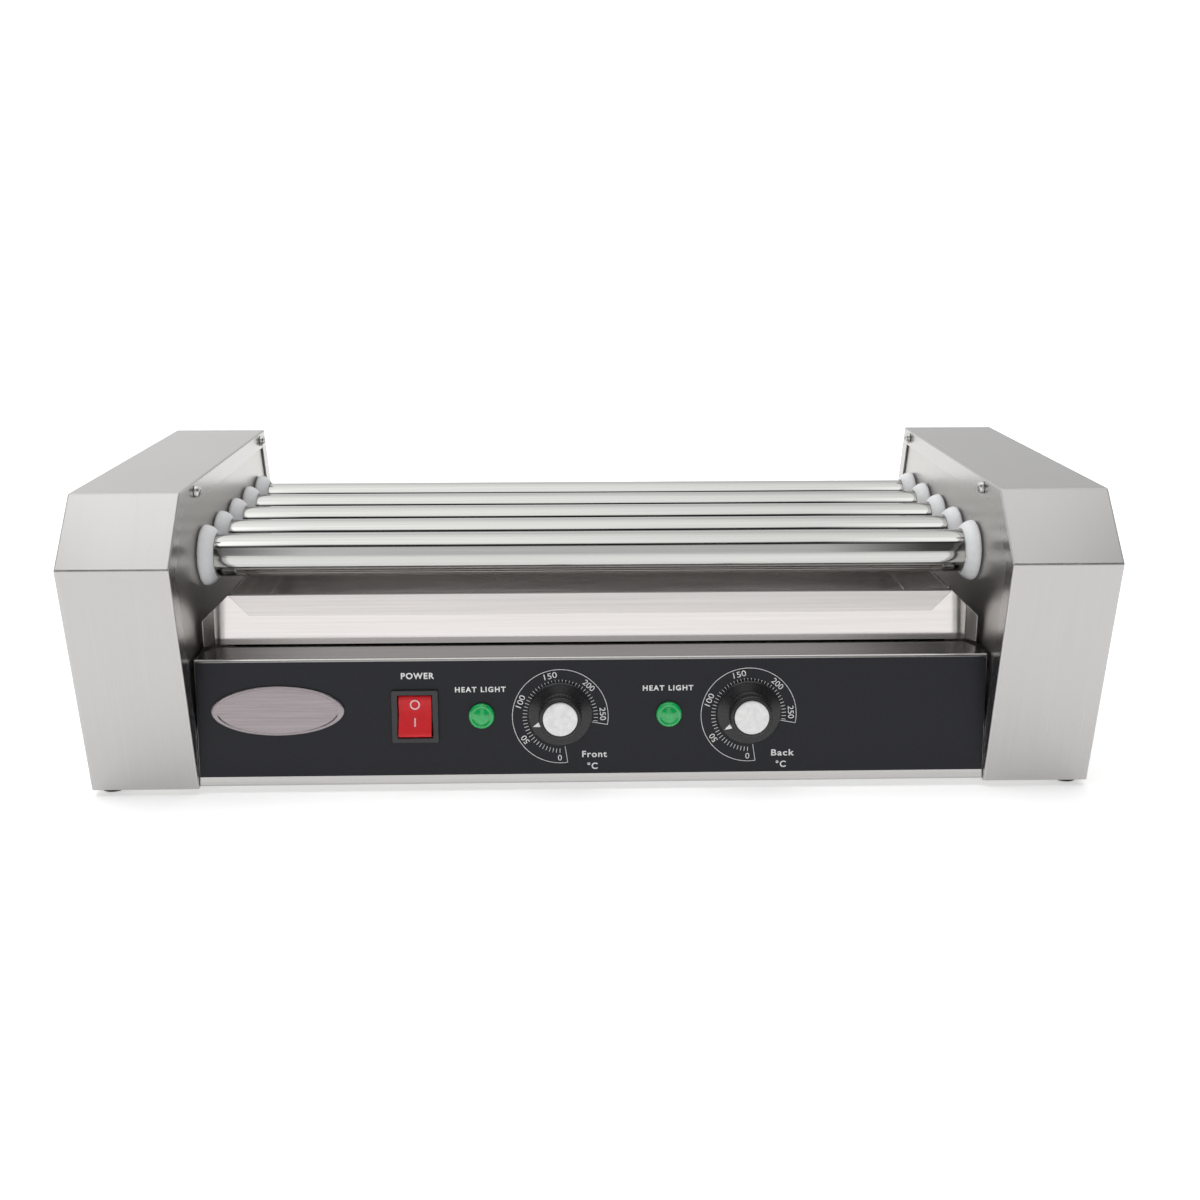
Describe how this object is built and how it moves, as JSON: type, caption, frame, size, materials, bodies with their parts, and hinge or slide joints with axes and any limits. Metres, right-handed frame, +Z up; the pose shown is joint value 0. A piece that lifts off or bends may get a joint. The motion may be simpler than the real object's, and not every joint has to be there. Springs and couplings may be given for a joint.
{
  "type": "hot dog roller grill",
  "caption": "Counter-top hot dog roller grill: polished rollers between stainless end housings, sloping control panel, slide-out drip tray.",
  "frame": {"origin": "centre of the grill's footprint, on the surface its feet stand on", "axes": "+X to the right-hand end along the rollers, -Y to the side with the controls, +Z up"},
  "size_m": [0.58, 0.261, 0.1755],
  "materials": {
    "satin_stainless": "fine vertical brushed grain",
    "polished_stainless": "bright polished sheet",
    "zinc_steel": "zinc plated",
    "roller_chrome": "polished seamless tube",
    "white_ptfe": "slightly translucent white",
    "black_overlay": "satin printed panel sheet",
    "brushed_nickel": "brushed oval plate",
    "black_plastic": "satin moulded",
    "red_plastic": "gloss moulded",
    "green_lens": "gloss translucent lens",
    "spun_aluminium": "turned face",
    "black_rubber": "matt",
    "chain_steel": "oiled steel",
    "heater_sheath": "heat-darkened sheath",
    "motor_steel": "zinc plated case",
    "white_nylon": "moulded"
  },
  "bodies": {
    "chassis": {"base_housing": "satin_stainless", "base_bottom_plate": "zinc_steel", "control_overlay": "black_overlay", "badge": "brushed_nickel", "switch_housing": "black_plastic", "front_heat_lamp": "green_lens", "back_heat_lamp": "green_lens", "front_thermostat": "zinc_steel", "back_thermostat": "zinc_steel", "drive_motor": "motor_steel", "motor_bracket": "zinc_steel", "drive_chain": "chain_steel", "cord_gland": "black_plastic", "terminal_block": "white_nylon", "left_end_cover": "satin_stainless", "left_side_frame": "polished_stainless", "left_heater_bracket": "zinc_steel", "left_front_screw": "zinc_steel", "left_rear_screw": "zinc_steel", "left_front_foot": "black_rubber", "left_rear_foot": "black_rubber", "left_bushing_1": "white_ptfe", "left_bushing_2": "white_ptfe", "left_bushing_3": "white_ptfe", "left_bushing_4": "white_ptfe", "left_bushing_5": "white_ptfe", "right_end_cover": "satin_stainless", "right_side_frame": "polished_stainless", "right_heater_bracket": "zinc_steel", "right_front_screw": "zinc_steel", "right_rear_screw": "zinc_steel", "right_front_foot": "black_rubber", "right_rear_foot": "black_rubber", "right_bushing_1": "white_ptfe", "right_bushing_2": "white_ptfe", "right_bushing_3": "white_ptfe", "right_bushing_4": "white_ptfe", "right_bushing_5": "white_ptfe", "heater_rod_1": "heater_sheath", "heater_rod_2": "heater_sheath", "heater_rod_3": "heater_sheath", "heater_rod_4": "heater_sheath", "heater_rod_5": "heater_sheath"},
    "roller_1_assembly": {"roller_1": "roller_chrome", "roller_sprocket_1": "chain_steel"},
    "roller_2_assembly": {"roller_2": "roller_chrome", "roller_sprocket_2": "chain_steel"},
    "roller_3_assembly": {"roller_3": "roller_chrome", "roller_sprocket_3": "chain_steel"},
    "roller_4_assembly": {"roller_4": "roller_chrome", "roller_sprocket_4": "chain_steel"},
    "roller_5_assembly": {"roller_5": "roller_chrome", "roller_sprocket_5": "chain_steel"},
    "motor_output": {"motor_sprocket": "chain_steel"},
    "tray": {"drip_tray": "polished_stainless"},
    "front_knob": {"front_heat_knob": "black_plastic", "front_knob_cap": "spun_aluminium"},
    "back_knob": {"back_heat_knob": "black_plastic", "back_knob_cap": "spun_aluminium"},
    "rocker": {"power_rocker": "red_plastic"}
  },
  "joints": [
    {"name": "roller_1_spin", "type": "hinge", "parent": "chassis", "child": "roller_1_assembly", "pos_m": [0, -0.0559, 0.1295], "axis": [1, 0, 0], "continuous": true},
    {"name": "roller_2_spin", "type": "hinge", "parent": "chassis", "child": "roller_2_assembly", "pos_m": [0, -0.0183, 0.1295], "axis": [1, 0, 0], "continuous": true},
    {"name": "roller_3_spin", "type": "hinge", "parent": "chassis", "child": "roller_3_assembly", "pos_m": [0, 0.0193, 0.1295], "axis": [1, 0, 0], "continuous": true},
    {"name": "roller_4_spin", "type": "hinge", "parent": "chassis", "child": "roller_4_assembly", "pos_m": [0, 0.0569, 0.1295], "axis": [1, 0, 0], "continuous": true},
    {"name": "roller_5_spin", "type": "hinge", "parent": "chassis", "child": "roller_5_assembly", "pos_m": [0, 0.0945, 0.1295], "axis": [1, 0, 0], "continuous": true},
    {"name": "motor_spin", "type": "hinge", "parent": "chassis", "child": "motor_output", "pos_m": [0.24, 0.0193, 0.062], "axis": [1, 0, 0], "continuous": true},
    {"name": "tray_slide", "type": "slide", "parent": "chassis", "child": "tray", "axis": [0, -1, 0], "range_m": [0, 0.18]},
    {"name": "front_knob_turn", "type": "hinge", "parent": "chassis", "child": "front_knob", "pos_m": [-0.0193, -0.10412, 0.04596], "axis": [0, 0.9922, -0.1249], "range_deg": [-64.9, 211.7]},
    {"name": "back_knob_turn", "type": "hinge", "parent": "chassis", "child": "back_knob", "pos_m": [0.09, -0.10412, 0.04596], "axis": [0, 0.9922, -0.1249], "range_deg": [-54.5, 222.1]},
    {"name": "rocker_press", "type": "hinge", "parent": "chassis", "child": "rocker", "pos_m": [-0.1029, -0.10452, 0.0452], "axis": [1, 0, 0], "range_deg": [0, 20]}
  ],
  "couplings": [
    {"joint": "roller_2_spin", "follows": "roller_1_spin", "ratio": 1},
    {"joint": "roller_3_spin", "follows": "roller_1_spin", "ratio": 1},
    {"joint": "roller_4_spin", "follows": "roller_1_spin", "ratio": 1},
    {"joint": "roller_5_spin", "follows": "roller_1_spin", "ratio": 1},
    {"joint": "motor_spin", "follows": "roller_1_spin", "ratio": 1.2727}
  ]
}
